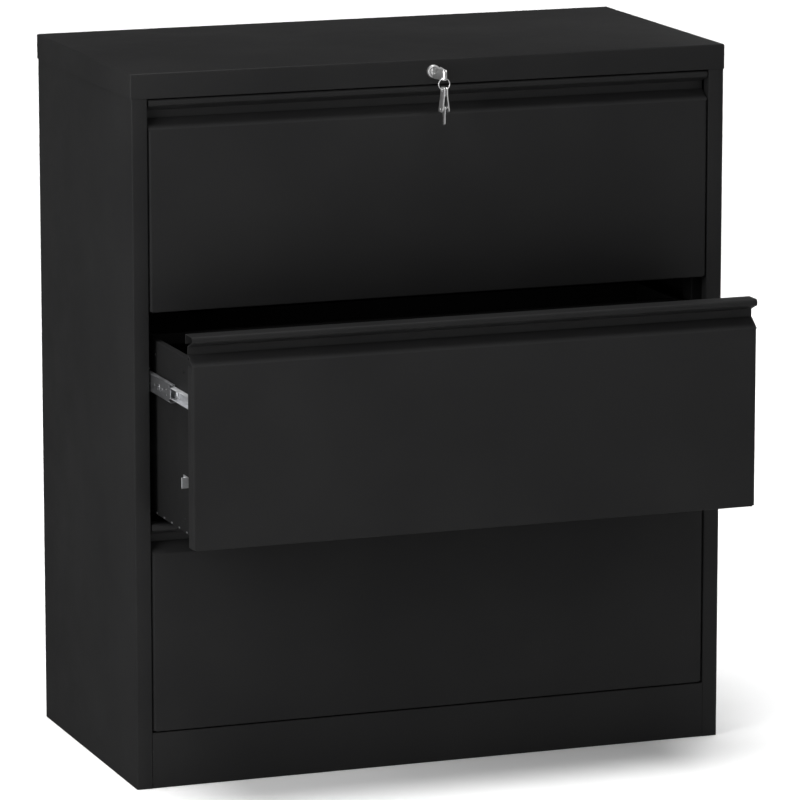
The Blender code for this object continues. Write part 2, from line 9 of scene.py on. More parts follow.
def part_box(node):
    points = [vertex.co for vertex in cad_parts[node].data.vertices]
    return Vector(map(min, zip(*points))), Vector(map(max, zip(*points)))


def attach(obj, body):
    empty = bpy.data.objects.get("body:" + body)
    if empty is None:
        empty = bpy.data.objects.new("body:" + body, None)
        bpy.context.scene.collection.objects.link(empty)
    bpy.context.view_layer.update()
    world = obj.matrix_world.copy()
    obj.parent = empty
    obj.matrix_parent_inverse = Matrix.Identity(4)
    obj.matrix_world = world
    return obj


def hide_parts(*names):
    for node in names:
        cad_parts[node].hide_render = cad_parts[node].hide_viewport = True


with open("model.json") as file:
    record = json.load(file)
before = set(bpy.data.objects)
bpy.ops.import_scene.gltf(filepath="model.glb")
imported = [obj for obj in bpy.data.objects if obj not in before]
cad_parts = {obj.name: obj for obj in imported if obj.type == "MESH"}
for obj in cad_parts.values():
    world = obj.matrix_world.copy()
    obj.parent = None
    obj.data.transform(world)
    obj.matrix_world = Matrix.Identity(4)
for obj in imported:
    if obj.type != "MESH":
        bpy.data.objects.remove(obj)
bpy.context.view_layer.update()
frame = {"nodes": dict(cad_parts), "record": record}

DRAWERS = ("bottom", "middle", "top")
SIDES = {"left": -1, "right": 1}


# ---------------------------------------------------------------- camera, floor, light

CAMERA_AT = (-2.8424, -7.6925, 2.1518)
CAMERA_YAW = 0.3538
CAMERA_PITCH = 0.1975
CAMERA_LENS = 258.74

FLOOR_RADIUS = 55.0
FLOOR_DROP = 0.0005

SUN_STRENGTH = 3.35
SUN_DIRECTION = (0.05, 0.05, -1.0)
SUN_SPREAD = math.radians(30)

# Each soft box: where it hangs, what it is aimed at, its size and its power in watts
SOFTBOXES = {
    "front_left_softbox": ((-1.85, -0.95, 1.35), (0, -0.13, 0.5), (1.0, 1.4), 32),
    "rear_softbox": ((2.8, 1.9, 1.3), (0, 0.3, 0.5), (2.2, 1.8), 24),
}

# Brightness of the surroundings, from straight away from their bright side to straight towards it
BRIGHT_SIDE = (0.0, -0.80, -0.60)
SURROUNDINGS = ((0.0, 0.06), (0.20, 0.11), (0.55, 0.37), (1.0, 0.45))


def linked(name, data):
    """A new object in the scene."""
    obj = bpy.data.objects.new(name, data)
    bpy.context.scene.collection.objects.link(obj)
    return obj


def make_camera():
    """Camera in front, a little to the left and above, looking slightly down."""
    data = bpy.data.cameras.new("camera")
    data.sensor_width = 36.0
    data.lens = CAMERA_LENS
    data.clip_end = 200.0
    data.dof.use_dof = False
    obj = linked("camera", data)
    obj.location = CAMERA_AT
    obj.rotation_euler = (math.pi / 2 - CAMERA_PITCH, 0, -CAMERA_YAW)
    bpy.context.scene.camera = obj


def make_softbox(name, location, target, size, power):
    """Rectangular area light that the camera doesn't see."""
    data = bpy.data.lights.new(name, "AREA")
    data.shape = "RECTANGLE"
    data.size, data.size_y = size
    data.energy = power
    obj = linked(name, data)
    obj.location = location
    obj.rotation_euler = (Vector(target) - Vector(location)).to_track_quat("-Z", "Y").to_euler()
    obj.visible_camera = False


def make_sun():
    """Broad, soft light from above."""
    data = bpy.data.lights.new("sky_softbox", "SUN")
    data.energy = SUN_STRENGTH
    data.angle = SUN_SPREAD
    obj = linked("sky_softbox", data)
    obj.rotation_euler = Vector(SUN_DIRECTION).to_track_quat("-Z", "Y").to_euler()


def make_world():
    """Soft surroundings: lighter in front and below, darker behind and overhead."""
    world = bpy.data.worlds.new("studio")
    bpy.context.scene.world = world
    world.use_nodes = True
    nodes, links = world.node_tree.nodes, world.node_tree.links
    nodes.clear()
    where = nodes.new("ShaderNodeTexCoord")
    toward = nodes.new("ShaderNodeVectorMath")
    toward.operation = "DOT_PRODUCT"
    toward.inputs[1].default_value = BRIGHT_SIDE
    span = nodes.new("ShaderNodeMapRange")
    span.inputs["From Min"].default_value = -1.0
    links.new(where.outputs["Generated"], toward.inputs[0])
    links.new(toward.outputs["Value"], span.inputs["Value"])
    stops = [(place, (value, value, value)) for place, value in SURROUNDINGS]
    colour = ramp_of(nodes, links, span.outputs["Result"], stops, "EASE")
    light = nodes.new("ShaderNodeBackground")
    out = nodes.new("ShaderNodeOutputWorld")
    links.new(colour, light.inputs["Color"])
    links.new(light.outputs["Background"], out.inputs["Surface"])


def stage_object(name, bm, look):
    """A piece of the studio, which reflections in the cabinet leave out."""
    mesh = bpy.data.meshes.new(name)
    bm.to_mesh(mesh)
    bm.free()
    mesh.materials.append(look)
    obj = linked(name, mesh)
    obj.visible_glossy = False
    return obj


def make_floor():
    """Plain pale floor. Reflections in the cabinet show the soft surroundings in its place."""
    look, nodes, links, shader = new_material("floor_paint")
    clouds = noise(nodes, links, FLOOR_CLOUDS_SCALE, 4.0, 0.5)
    colour = ramp_of(nodes, links, clouds, ((0.3, (0.93, 0.93, 0.93)), (0.7, (0.96, 0.96, 0.96))))
    links.new(colour, shader.inputs["Base Color"])
    shader.inputs["Roughness"].default_value = 0.9
    shader.inputs["Specular IOR Level"].default_value = FLOOR_SPECULAR
    bm = bmesh.new()
    bmesh.ops.create_circle(bm, cap_ends=True, segments=96, radius=FLOOR_RADIUS)
    stage_object("floor", bm, look).location = (0, 0, -FLOOR_DROP)


def make_backdrop():
    """White wall round the edge of the floor, for low views. It gives the cabinet no light."""
    look, _, _, shader = new_material("backdrop_white")
    shader.inputs["Base Color"].default_value = (0, 0, 0, 1)
    shader.inputs["Specular IOR Level"].default_value = 0.0
    shader.inputs["Emission Color"].default_value = (1, 1, 1, 1)
    shader.inputs["Emission Strength"].default_value = 1.0
    bm = bmesh.new()
    bmesh.ops.create_cone(
        bm, cap_ends=False, segments=96, radius1=FLOOR_RADIUS, radius2=FLOOR_RADIUS, depth=FLOOR_RADIUS
    )
    wall = stage_object("backdrop", bm, look)
    wall.visible_diffuse = False
    wall.visible_shadow = False


# ---------------------------------------------------------------- materials

# Noise scales are in waves per metre, bump depths in metres
FLOOR_CLOUDS_SCALE = 6.0
PAINT_CLOUDS_SCALE = 5.0
HAZE_SCALE = 14.0
PEEL_SCALE = 260.0
PEEL_DEPTH = 0.00006
GRAIN_SCALE = 1500.0
PLATING_CLOUDS_SCALE = 90.0
STREAK_SCALE = 900.0
STREAK_DEPTH = 0.00001

# How strongly the paints and the floor reflect
PAINT_SPECULAR = 0.06
FLOOR_SPECULAR = 0.1


def new_material(name):
    """A node material, with its nodes, its links and its shader."""
    made = bpy.data.materials.new(name)
    made.use_nodes = True
    tree = made.node_tree
    return made, tree.nodes, tree.links, tree.nodes["Principled BSDF"]


def noise(nodes, links, scale, detail=3.0, rough=0.5, stretch=(1, 1, 1)):
    """Noise from 0 to 1 in object coordinates, which are metres of the shared frame."""
    where = nodes.new("ShaderNodeTexCoord")
    spread = nodes.new("ShaderNodeMapping")
    spread.inputs["Scale"].default_value = stretch
    made = nodes.new("ShaderNodeTexNoise")
    made.inputs["Scale"].default_value = scale
    made.inputs["Detail"].default_value = detail
    made.inputs["Roughness"].default_value = rough
    links.new(where.outputs["Object"], spread.inputs["Vector"])
    links.new(spread.outputs["Vector"], made.inputs["Vector"])
    return made.outputs["Fac"]


def ramp_of(nodes, links, value, stops, interpolation="LINEAR"):
    """Colour ramp over the value, from (place, colour) stops."""
    made = nodes.new("ShaderNodeValToRGB")
    made.color_ramp.interpolation = interpolation
    while len(made.color_ramp.elements) < len(stops):
        made.color_ramp.elements.new(0.5)
    for element, (place, colour) in zip(made.color_ramp.elements, stops):
        element.position = place
        element.color = (*colour, 1)
    links.new(value, made.inputs["Fac"])
    return made.outputs["Color"]


def ranged(nodes, links, value, low, high):
    """The middle of the value's range, spread from low to high."""
    made = nodes.new("ShaderNodeMapRange")
    made.inputs["From Min"].default_value = 0.3
    made.inputs["From Max"].default_value = 0.7
    made.inputs["To Min"].default_value = low
    made.inputs["To Max"].default_value = high
    links.new(value, made.inputs["Value"])
    return made.outputs["Result"]


def bumped(nodes, links, shader, layers):
    """Bump from several (value, depth in metres) layers, one on the other."""
    normal = None
    for value, depth in layers:
        made = nodes.new("ShaderNodeBump")
        made.inputs["Strength"].default_value = 1.0
        made.inputs["Distance"].default_value = depth
        links.new(value, made.inputs["Height"])
        if normal is not None:
            links.new(normal, made.inputs["Normal"])
        normal = made.outputs["Normal"]
    links.new(normal, shader.inputs["Normal"])


def powder_coat(name, grey, roughness, grain_depth):
    """Baked powder paint: fine grain, faint orange peel, uneven gloss, a little handling haze."""
    made, nodes, links, shader = new_material(name)
    clouds = noise(nodes, links, PAINT_CLOUDS_SCALE, 3.0)
    darker = (grey * 0.90, grey * 0.90, grey * 0.92)
    lighter = (grey * 1.10, grey * 1.10, grey * 1.11)
    links.new(ramp_of(nodes, links, clouds, ((0.30, darker), (0.70, lighter))), shader.inputs["Base Color"])
    haze = noise(nodes, links, HAZE_SCALE, 6.0, 0.6)
    links.new(ranged(nodes, links, haze, roughness - 0.03, roughness + 0.04), shader.inputs["Roughness"])
    shader.inputs["Specular IOR Level"].default_value = PAINT_SPECULAR
    grain = noise(nodes, links, GRAIN_SCALE, 2.0, 0.6)
    peel = noise(nodes, links, PEEL_SCALE, 2.0, 0.5)
    bumped(nodes, links, shader, ((peel, PEEL_DEPTH), (grain, grain_depth)))
    return made


def plated(name, colour, roughness, streak_along, cloudiness):
    """Plated steel: rolling streaks in its gloss and its relief, and a cloudy tone."""
    made, nodes, links, shader = new_material(name)
    clouds = noise(nodes, links, PLATING_CLOUDS_SCALE, 4.0, 0.6)
    darker = tuple(c * (1 - cloudiness) for c in colour)
    lighter = tuple(min(1.0, c * (1 + cloudiness * 0.5)) for c in colour)
    links.new(ramp_of(nodes, links, clouds, ((0.32, darker), (0.68, lighter))), shader.inputs["Base Color"])
    shader.inputs["Metallic"].default_value = 1.0
    streaks = noise(nodes, links, STREAK_SCALE, 3.0, 0.6, streak_along)
    links.new(ranged(nodes, links, streaks, roughness * 0.75, roughness * 1.3), shader.inputs["Roughness"])
    bumped(nodes, links, shader, ((streaks, STREAK_DEPTH),))
    return made


def make_materials():
    """Two paints and three platings, by short name. The darker zinc is a copy of the bright zinc with
    painted shade.
    """
    front_to_back = (1, 0.04, 1)
    upright = (1, 1, 0.2)
    return {
        "coat": powder_coat("black_powder_coat_fine", 0.0140, 0.40, 0.00004),
        "inside": powder_coat("black_drawer_paint_matt", 0.0110, 0.50, 0.00005),
        "zinc": plated("zinc_plate_bright", (0.92, 0.93, 0.95), 0.46, front_to_back, 0.08),
        # Darker copy of the zinc plate: painted shade for the slide members set back in the case, and for
        # the side tabs
        "shaded_zinc": plated("zinc_plate_painted_shade", (0.42, 0.425, 0.44), 0.40, front_to_back, 0.12),
        "chrome": plated("nickel_chrome_plate", (0.88, 0.88, 0.88), 0.42, upright, 0.04),
    }


# ---------------------------------------------------------------- mesh helpers

# Rounding of edges: on slides and key grips, and on the CAD nodes
FINE_EDGE = 0.00015
CAD_EDGE = 0.0004


def rounded(points, radii, steps=4):
    """An open 2-D path with an arc of the given radius at each inner corner."""
    path = [Vector(points[0])]
    for i in range(1, len(points) - 1):
        corner = Vector(points[i])
        before = (Vector(points[i - 1]) - corner).normalized()
        after = (Vector(points[i + 1]) - corner).normalized()
        half_angle = before.angle(after) / 2
        reach = radii[i - 1] / math.tan(half_angle)
        centre = corner + (before + after).normalized() * radii[i - 1] / math.sin(half_angle)
        start = corner + before * reach - centre
        end = corner + after * reach - centre
        for k in range(steps + 1):
            path.append(centre + start.slerp(end, k / steps).normalized() * radii[i - 1])
    path.append(Vector(points[-1]))
    return path


def folded(path, thickness):
    """Closed outline of a sheet along the path: on its right, or on its left if thickness is negative."""
    inner = []
    for i, point in enumerate(path):
        before = (point - path[i - 1]).normalized() if i else None
        after = (path[i + 1] - point).normalized() if i + 1 < len(path) else None
        before, after = before or after, after or before
        normals = [Vector((d.y, -d.x)) for d in (before, after)]
        middle = (normals[0] + normals[1]).normalized()
        inner.append(point + middle * thickness / middle.dot(normals[0]))
    return path + inner[::-1]


def prism(outline, place, start, end):
    """Solid between two copies of an outline; place turns (a, b, along) into a point."""
    bm = bmesh.new()
    ends = [[bm.verts.new(place(p[0], p[1], along)) for p in outline] for along in (start, end)]
    count = len(outline)
    for i in range(count):
        j = (i + 1) % count
        bm.faces.new((ends[0][i], ends[0][j], ends[1][j], ends[1][i]))
    bm.faces.new(ends[0][::-1])
    bm.faces.new(ends[1])
    bmesh.ops.recalc_face_normals(bm, faces=bm.faces)
    return bm


def along_x(a, b, along):
    """Outline in the YZ plane, drawn along X."""
    return (along, a, b)


def along_y(a, b, along):
    """Outline in the XZ plane, drawn along Y."""
    return (a, along, b)


def along_z(a, b, along):
    """Outline in the XY plane, drawn along Z."""
    return (a, b, along)


def rectangle(a0, b0, a1, b1):
    """Outline of a rectangle between two corners."""
    return [(a0, b0), (a1, b0), (a1, b1), (a0, b1)]


def circle(centre, radius, steps=24):
    """Outline of a circle."""
    turns = [2 * math.pi * k / steps for k in range(steps)]
    return [(centre[0] + radius * math.cos(t), centre[1] + radius * math.sin(t)) for t in turns]


def slot_outline(centre, length, width, steps=8):
    """Outline of a slot with round ends, its length along the first axis."""
    reach = (length - width) / 2
    outline = []
    for side, first in ((1, -0.5), (-1, 0.5)):
        for k in range(steps + 1):
            turn = math.pi * (first + k / steps)
            a = centre[0] + side * reach + width / 2 * math.cos(turn)
            b = centre[1] + width / 2 * math.sin(turn)
            outline.append((a, b))
    return outline


def lathe(profile, steps=40):
    """Closed solid of revolution round +Z from (radius, height) points.

    A profile that starts and ends at radius 0 makes a solid body, any other one a ring.
    """
    bm = bmesh.new()
    rings = []
    for radius, height in profile:
        if radius == 0:
            rings.append([bm.verts.new((0, 0, height))])
        else:
            rings.append([bm.verts.new((x, y, height)) for x, y in circle((0, 0), radius, steps)])
    following = rings[1:] if len(rings[0]) == 1 else rings[1:] + rings[:1]
    for near, far in zip(rings, following):
        for i in range(steps):
            j = (i + 1) % steps
            face = [near[i % len(near)], near[j % len(near)], far[j % len(far)], far[i % len(far)]]
            bm.faces.new(list(dict.fromkeys(face)))
    bmesh.ops.recalc_face_normals(bm, faces=bm.faces)
    return bm


def joined(shapes):
    """All the meshes in one."""
    whole = bmesh.new()
    for bm in shapes:
        mesh = bpy.data.meshes.new("part")
        bm.to_mesh(mesh)
        bm.free()
        whole.from_mesh(mesh)
        bpy.data.meshes.remove(mesh)
    return whole


def moved(bm, matrix):
    """A copy of the mesh, placed by the matrix, its faces still outwards."""
    made = bm.copy()
    bmesh.ops.transform(made, matrix=matrix, verts=made.verts)
    if matrix.to_3x3().determinant() < 0:
        bmesh.ops.reverse_faces(made, faces=made.faces)
    return made


def carved(bm, cutter, operation="DIFFERENCE"):
    """Cuts one mesh from another, or joins it on with the operation UNION."""
    objects = []
    for shape in (bm, cutter):
        mesh = bpy.data.meshes.new("carve")
        shape.to_mesh(mesh)
        shape.free()
        objects.append(linked("carve", mesh))
    step = objects[0].modifiers.new("cut", "BOOLEAN")
    step.operation = operation
    step.solver = "EXACT"
    step.object = objects[1]
    depsgraph = bpy.context.evaluated_depsgraph_get()
    result = bpy.data.meshes.new_from_object(objects[0].evaluated_get(depsgraph))
    made = bmesh.new()
    made.from_mesh(result)
    bpy.data.meshes.remove(result)
    for obj in objects:
        bpy.data.meshes.remove(obj.data)
    bmesh.ops.remove_doubles(made, verts=made.verts, dist=1e-6)
    return made


def small_edges(obj, width, angle):
    """Rounds the edges that are sharper than the angle in degrees."""
    edge = obj.modifiers.new("edge", "BEVEL")
    edge.width = width
    edge.segments = 2
    edge.limit_method = "ANGLE"
    edge.angle_limit = math.radians(angle)
    edge.harden_normals = True
    edge.use_clamp_overlap = True


def piece(name, bm, look, body, replaces=(), bevel=0, angle=35):
    """A finished piece of the visual model, riding on a body."""
    mesh = bpy.data.meshes.new(name)
    bm.to_mesh(mesh)
    bm.free()
    mesh.materials.append(look)
    mesh.shade_smooth()
    obj = linked(name, mesh)
    if bevel:
        small_edges(obj, bevel, angle)
    else:
        mesh.set_sharp_from_angle(angle=math.radians(angle))
    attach(obj, body)
    if replaces:
        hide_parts(*replaces)


# ---------------------------------------------------------------- telescopic slides

# Slides are modelled for the left: x from the case side towards the drawer, y from the member's
# front end, z from its middle. A section is the upper or lower half, from lip to web.
SLIDE_LENGTH = 0.398
SLIDE_SHEET = 0.0012
MIDDLE_SHEET = 0.0011
SECTION_BENDS = (0.0012, 0.0018, 0.0018, 0.0012)
OUTER_SECTION = ((0.0085, 0.0163), (0.0064, 0.0175), (0.0, 0.0175))
MIDDLE_SECTION = ((0.0098, 0.0125), (0.0078, 0.0133), (0.0022, 0.0133))
INNER_SECTION = ((0.0045, -0.0068), (0.0062, -0.0075), (0.0127, -0.0075))

# From side to side of each member's web, with room for a cutter
OUTER_WEB = (-0.002, 0.003)
MIDDLE_WEB = (0.0015, 0.0040)
INNER_WEB = (0.0100, 0.0140)

# Holes by their distance from the member's front end; some on the middle one are (y, z, radius)
OUTER_HOLES = (0.037, 0.133, 0.229, 0.325)
OUTER_HOLE_RADIUS = 0.0024
OUTER_SLOTS = (0.069, 0.261)
OUTER_SLOT_SIZE = (0.010, 0.0046)
MIDDLE_SLOTS = (0.0550, 0.0440, 0.1500, 0.3300)
MIDDLE_SLOT_SIZE = (0.0082, 0.0034)
MIDDLE_HOLES = ((0.0160, -0.0045, 0.0015), (0.0900, 0, 0.0030), (0.2100, 0, 0.0030))
FRONT_NOTCH = (
    (-0.001, 0.0062),
    (-0.001, 0.0118),
    (0.0050, 0.0118),
    (0.0062, 0.0106),
    (0.0062, 0.0062),
)
BUTTON_FOOT = 0.0024

# Pressed buttons on the middle web: y, z, radius, height, stretch upright
MIDDLE_BUTTONS = (
    (0.0495, 0, 0.0022, 0.0009, 2.3),
    (0.0370, 0, 0.0026, 0.0008, 1.0),
    (0.0190, 0.0030, 0.0024, 0.0008, 1.0),
    (0.0720, 0, 0.0030, 0.0008, 1.0),
    (0.1200, 0, 0.0030, 0.0008, 1.0),
    (0.2700, 0, 0.0030, 0.0008, 1.0),
)

# Keyhole of two circles with a neck between them, release lever as (y, z)
KEYHOLE_Y = 0.0227
KEYHOLE_RADIUS = 0.0017
KEYHOLE_REACH = 0.0018
NECK_HALF = (0.0008, 0.002)
INNER_HOLES = (0.105, 0.245)
INNER_HOLE_RADIUS = 0.0022
LEVER = (
    (0.0780, 0.0045),
    (0.0780, -0.0030),
    (0.0640, -0.0048),
    (0.0620, -0.0030),
    (0.0720, -0.0012),
    (0.0728, 0.0045),
)
LEVER_X = (0.0096, 0.0117)

# Balls and the strip that holds them
BALL_RADIUS = 0.0019
BALL_X = 0.0070
BALL_Z = 0.0099
BALL_START = 0.0165
BALL_PITCH = 0.0096
BALLS = 8
CAGE_X = (0.0066, 0.0073)
CAGE_Y = (0.012, 0.088)
CAGE_Z = (0.0082, 0.0117)


def rolled_channel(section, thickness):
    """Slide member from half of its section."""
    whole = list(section) + [(x, -z) for x, z in reversed(section)]
    path = rounded(whole, SECTION_BENDS)
    return prism(folded(path, -thickness), along_y, 0.0, SLIDE_LENGTH)


def through_web(outlines, web):
    """Cutter for holes in a slide's web; outlines are (y, z)."""
    return joined([prism(outline, along_x, *web) for outline in outlines])


def button(y, z, radius, height, stretch):
    """Pressed button on the middle member's web, its crown towards the case."""
    profile = [(radius * math.cos(t), height * math.sin(t)) for t in (0, 0.35, 0.7, 1.05, 1.3)]
    cap = lathe([(0, -0.0004), (radius, -0.0004)] + profile + [(0, height)], 20)
    turn = Matrix.Rotation(-math.pi / 2, 4, "Y") @ Matrix.Diagonal((stretch, 1, 1, 1))
    placed = moved(cap, Matrix.Translation((BUTTON_FOOT, y, z)) @ turn)
    cap.free()
    return placed


def outer_member():
    """Member on the case, with its fixing holes and slots."""
    holes = [circle((y, 0), OUTER_HOLE_RADIUS) for y in OUTER_HOLES]
    holes += [slot_outline((y, 0), *OUTER_SLOT_SIZE) for y in OUTER_SLOTS]
    return carved(rolled_channel(OUTER_SECTION, SLIDE_SHEET), through_web(holes, OUTER_WEB))


def middle_member():
    """Floating member, with upright slots, notched front corners and pressed buttons."""
    holes = []
    for y in MIDDLE_SLOTS:
        holes.append([(y + a, b) for b, a in slot_outline((0, 0), *MIDDLE_SLOT_SIZE)])
    holes += [circle((y, z), radius) for y, z, radius in MIDDLE_HOLES]
    holes += [FRONT_NOTCH, [(y, -z) for y, z in FRONT_NOTCH]]
    web = carved(rolled_channel(MIDDLE_SECTION, MIDDLE_SHEET), through_web(holes, MIDDLE_WEB))
    return joined([web] + [button(*spot) for spot in MIDDLE_BUTTONS])


def inner_member():
    """Member on the drawer, with its keyhole, fixing holes and release lever."""
    keyhole = [circle((KEYHOLE_Y, z), KEYHOLE_RADIUS) for z in (KEYHOLE_REACH, -KEYHOLE_REACH)]
    wide, high = NECK_HALF
    neck = rectangle(KEYHOLE_Y - wide, -high, KEYHOLE_Y + wide, high)
    fixing_holes = [circle((y, 0), INNER_HOLE_RADIUS) for y in INNER_HOLES]
    member = rolled_channel(INNER_SECTION, -SLIDE_SHEET)
    for outlines in ([keyhole[0]], [keyhole[1]], [neck], fixing_holes):
        member = carved(member, through_web(outlines, INNER_WEB))
    return joined([member, prism(LEVER, along_x, *LEVER_X)])


def ball_cage():
    """Two short strips of balls between the middle and the inner member."""
    ball = bmesh.new()
    bmesh.ops.create_icosphere(ball, subdivisions=2, radius=BALL_RADIUS)
    shapes = []
    for side in (-1, 1):
        strip = rectangle(CAGE_Y[0], side * CAGE_Z[0], CAGE_Y[1], side * CAGE_Z[1])
        shapes.append(prism(strip, along_x, *CAGE_X))
        for k in range(BALLS):
            spot = Matrix.Translation((BALL_X, BALL_START + BALL_PITCH * k, side * BALL_Z))
            shapes.append(moved(ball, spot))
    ball.free()
    return joined(shapes)


def build_slides(looks):
    """Six slides. The member on the drawer is bright, and the two behind it get the darker zinc with
    painted shade.
    """
    members = {
        "outer": (outer_member(), looks["shaded_zinc"], "case"),
        "middle": (middle_member(), looks["shaded_zinc"], "{}_slide_travel"),
        "inner": (inner_member(), looks["zinc"], "{}_drawer"),
    }
    cage = ball_cage()
    for drawer in DRAWERS:
        for side, sign in SIDES.items():
            flip = Matrix.Diagonal((-sign, 1, 1, 1))
            case_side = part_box(f"{drawer}_{side}_slide_outer")[0 if sign < 0 else 1][0]
            for member, (shape, look, body_pattern) in members.items():
                node = f"{drawer}_{side}_slide_{member}"
                low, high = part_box(node)
                place = Matrix.Translation((case_side, low[1], (low[2] + high[2]) / 2)) @ flip
                body = body_pattern.format(drawer)
                rolled = moved(shape, place)
                piece(f"{node}_rolled", rolled, look, body, (node,), FINE_EDGE)
                if member == "middle":
                    piece(f"{drawer}_{side}_ball_cage", moved(cage, place), look, body)


# ---------------------------------------------------------------- screws, tabs, back

# Pressed tabs: the first one's distance behind the drawer's face, their height above the tray's
# lower edge
TAB_SIZE = (0.0016, 0.0050, 0.0022)
TABS = 11
TAB_START = 0.062
TAB_PITCH = 0.034
TAB_HEIGHT = 0.0030
TAB_EDGE = 0.0004

# Screws on a drawer's side: radius and height of a head, then for each screw the distance
# behind the drawer's face and the height above its lower edge
SIDE_SCREW = (0.0030, 0.0014)
SIDE_SCREWS = ((0.071, 0.2405), (0.200, 0.2405), (0.330, 0.2405), (0.071, 0.030), (0.330, 0.030))

# Screws on the back: radius and thickness of a head, distance from the sheet's side edges,
# and their heights; the upper ones are measured down from the sheet's top
BACK_SCREW = (0.0036, 0.0005)
BACK_EDGE = 0.0078
BACK_SIDE_SCREWS = (0.045, 0.275, 0.510, 0.745)
BACK_SIDE_DROP = 0.025
BACK_ROW_SCREWS = (-0.22, 0.0, 0.22)
BACK_ROW_HEIGHT = 0.030
BACK_ROW_DROP = 0.012
SCREW_INSET = 0.00005
COUNTERSINK = ((0, -0.0006), (0.0026, -0.0006), (0.0042, 0.0004), (0, 0.0004))


def cross_recess(depth, reach, width):
    """Cutter for a cross-head screw, from the surface at height 0 down."""
    arm = prism(rectangle(-reach, -width / 2, reach, width / 2), along_z, -depth, 0.002)
    arms = [moved(arm, Matrix.Rotation(turn, 4, "Z")) for turn in (0, math.pi / 2)]
    arm.free()
    return carved(arms[0], arms[1], "UNION")


def pan_head(radius, height):
    """Domed screw head on the plane z = 0, with its cross recess."""
    profile = [(0, -0.0003), (radius, -0.0003), (radius, height * 0.25)]
    for t in (0.4, 0.8, 1.2):
        profile.append((radius * (0.25 + 0.75 * math.cos(t)), height * (0.25 + 0.75 * math.sin(t))))
    head = lathe(profile + [(0, height)], 28)
    cut = moved(cross_recess(height * 0.6, radius * 0.6, radius * 0.24), Matrix.Translation((0, 0, height)))
    return carved(head, cut)


def flat_head(radius, thickness):
    """Countersunk screw head, its top at z = 0."""
    profile = [
        (0, -thickness),
        (radius * 0.6, -thickness),
        (radius, -0.0002),
        (radius * 0.97, 0),
        (0, 0),
    ]
    return carved(lathe(profile, 28), cross_recess(0.0005, radius * 0.55, radius * 0.22))


def build_side_details(looks):
    """On each drawer's sides: a row of pressed tabs along the lower edge, and screws."""
    tab = bmesh.new()
    bmesh.ops.create_cube(tab, size=1.0)
    bmesh.ops.scale(tab, vec=TAB_SIZE, verts=tab.verts)
    screw = pan_head(*SIDE_SCREW)
    for drawer in DRAWERS:
        low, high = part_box(f"{drawer}_drawer_tray")
        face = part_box(f"{drawer}_drawer_front")[0]
        tabs, screws = [], []
        for side in SIDES.values():
            x = low[0] if side < 0 else high[0]
            outwards = Matrix.Rotation(side * math.pi / 2, 4, "Y")
            for k in range(TABS):
                y = face[1] + TAB_START + TAB_PITCH * k
                tabs.append(moved(tab, Matrix.Translation((x, y, low[2] + TAB_HEIGHT))))
            for y, z in SIDE_SCREWS:
                place = Matrix.Translation((x, face[1] + y, face[2] + z)) @ outwards
                screws.append(moved(screw, place))
        body = f"{drawer}_drawer"
        # The tabs take the darker zinc with painted shade.
        piece(f"{drawer}_side_tabs", joined(tabs), looks["shaded_zinc"], body, bevel=TAB_EDGE)
        piece(f"{drawer}_side_screws", joined(screws), looks["inside"], body)


def build_back(looks):
    """Back sheet with countersunk screws, just below its surface."""
    low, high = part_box("back_panel")
    sheet = prism(rectangle(low[0], low[2], high[0], high[2]), along_y, low[1], high[1])
    spots = []
    for z in (*BACK_SIDE_SCREWS, high[2] - BACK_SIDE_DROP):
        spots += [(low[0] + BACK_EDGE, z), (high[0] - BACK_EDGE, z)]
    for x in BACK_ROW_SCREWS:
        spots += [(x, high[2] - BACK_ROW_DROP), (x, BACK_ROW_HEIGHT)]
    sink = lathe(COUNTERSINK, 28)
    head = flat_head(*BACK_SCREW)
    backwards = Matrix.Rotation(-math.pi / 2, 4, "X")
    places = [Matrix.Translation((x, high[1], z)) @ backwards for x, z in spots]
    sheet = carved(sheet, joined([moved(sink, place) for place in places]))
    piece("back_sheet", sheet, looks["coat"], "case", ("back_panel",), angle=10)
    inset = Matrix.Translation((0, -SCREW_INSET, 0))
    screws = joined([moved(head, inset @ place) for place in places])
    piece("back_screws", screws, looks["zinc"], "case")


# ---------------------------------------------------------------- lock and keys

# Front of the lock barrel, as (radius, distance behind its front): bore, ring groove, rim, flange
BARREL_FRONT = (
    (0.0063, 0.0008),
    (0.0069, 0.0002),
    (0.0074, 0.0002),
    (0.0076, 0.0006),
    (0.0078, 0.0006),
    (0.0080, 0.0001),
    (0.0084, 0.0),
    (0.0090, 0.0003),
    (0.0094, 0.0010),
    (0.0095, 0.0018),
    (0.0095, 0.0054),
    (0.0092, 0.0057),
    (0.0080, 0.0057),
)
SLEEVE_CHAMFER = 0.0008

# Key blade, along +Y from its pivot: cuts as (share of the length, depth), head, groove
BITTING = ((0.30, 0.0016), (0.44, 0.0006), (0.58, 0.0021), (0.72, 0.0011), (0.86, 0.0017))
CUT_MOUTH = 0.0013
CUT_FLOOR = 0.0004
HEAD_END = 0.0080
HEAD_HALF = 0.0042
HEAD_CORNER = 0.0030
GROOVE_START = 0.0095
GROOVE_Z = (-0.0016, -0.0006)
GROOVE_DEPTH = 0.0004

SPARE_LENGTH = 0.0240
SPARE_THICKNESS = 0.0016
SPARE_WIDTH = 0.0068

BOW_GAP = 0.0011
BOW_SPINE = 0.0016
BOW_SLIT = 0.016
CLEAR = 0.001


def build_lock(looks):
    """Lock barrel with its rounded rim and the ring groove round the plug."""
    low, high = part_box("lock_barrel")
    length = high[1] - low[1]
    sleeve_end = [(0.0080, length - SLEEVE_CHAMFER), (0.0076, length), (0.0063, length)]
    barrel = lathe([*BARREL_FRONT, *sleeve_end], 64)
    backwards = Matrix.Rotation(-math.pi / 2, 4, "X")
    place = Matrix.Translation((0, low[1], (low[2] + high[2]) / 2)) @ backwards
    shape = moved(barrel, place)
    piece("lock_barrel_turned", shape, looks["chrome"], "case", ("lock_barrel",), angle=32)


